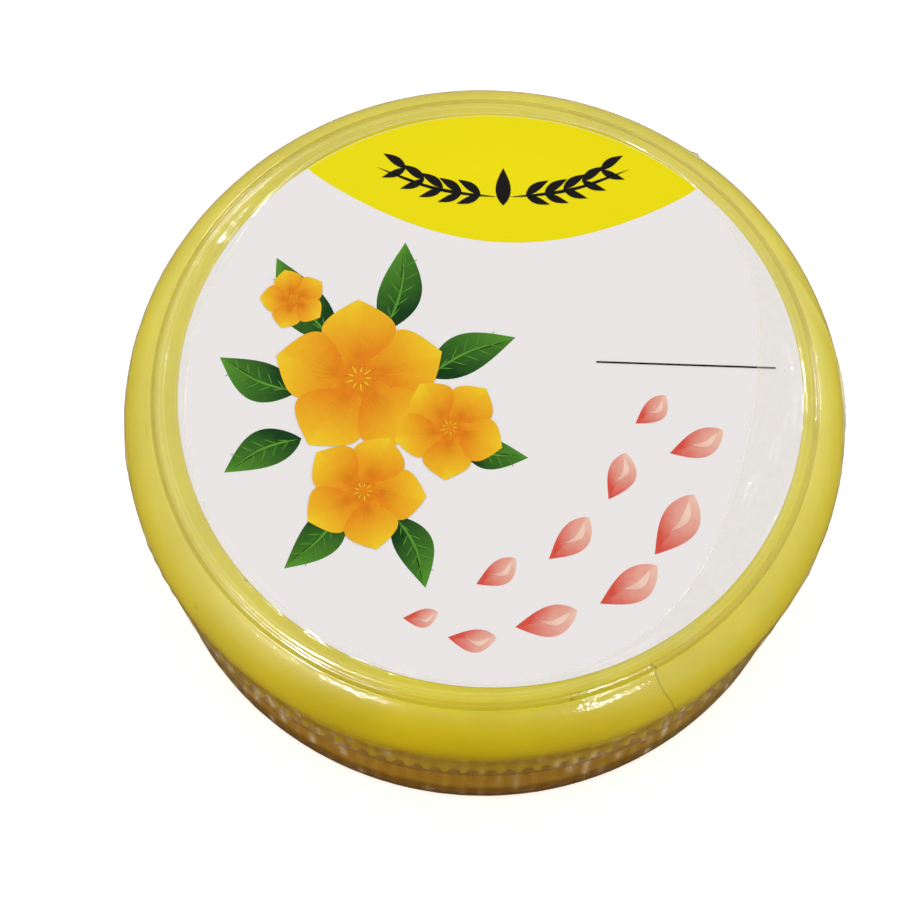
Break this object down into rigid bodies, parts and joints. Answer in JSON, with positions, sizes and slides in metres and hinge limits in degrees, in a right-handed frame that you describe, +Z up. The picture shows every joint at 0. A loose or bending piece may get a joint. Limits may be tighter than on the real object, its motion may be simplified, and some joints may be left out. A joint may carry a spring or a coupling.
{
  "type": "sponge jar",
  "caption": "Low round screw-lid jar with ribbed lid and wall, off-centre top label and clear shrink film, holding a foam sponge with a finger well under a plug seal.",
  "frame": {"origin": "centre of the base, on the surface the jar stands on", "axes": "+Z up along the jar's axis; +X to the label's right, the way the label and the film's hole lie off centre; +Y to the label's top"},
  "size_m": [0.068, 0.068, 0.0258],
  "materials": {
    "jar_plastic": "gloss, slightly translucent lemon yellow",
    "sponge_foam": "open-cell foam, damp",
    "seal_plastic": "satin natural polyethylene",
    "liner_foam": "fine closed-cell foam",
    "lid_plastic": "gloss lemon yellow",
    "label_paper": "gloss coated label stock",
    "clear_film": "clear wrinkled shrink film"
  },
  "bodies": {
    "jar": {"jar_body": "jar_plastic", "sponge": "sponge_foam", "jar_film": "clear_film"},
    "seal": {"inner_seal": "seal_plastic"},
    "liner": {"lid_liner": "liner_foam"},
    "lid": {"lid_shell": "lid_plastic", "label_disc": "label_paper", "lid_film": "clear_film"}
  },
  "joints": [
    {"name": "lid_lift", "type": "slide", "parent": "jar", "child": "liner", "axis": [0, 0, 1], "range_m": [0, 0.036]},
    {"name": "lid_turn", "type": "hinge", "parent": "liner", "child": "lid", "pos_m": [0, 0, 0.02], "axis": [0, 0, 1], "range_deg": [0, 2160]},
    {"name": "seal_lift", "type": "slide", "parent": "jar", "child": "seal", "axis": [0, 0, 1], "range_m": [0, 0.018]}
  ],
  "couplings": [
    {"joint": "lid_lift", "follows": "lid_turn", "m_per_rad": 0.00095492},
    {"joint": "seal_lift", "follows": "lid_turn", "m_per_rad": 0.00047746}
  ]
}
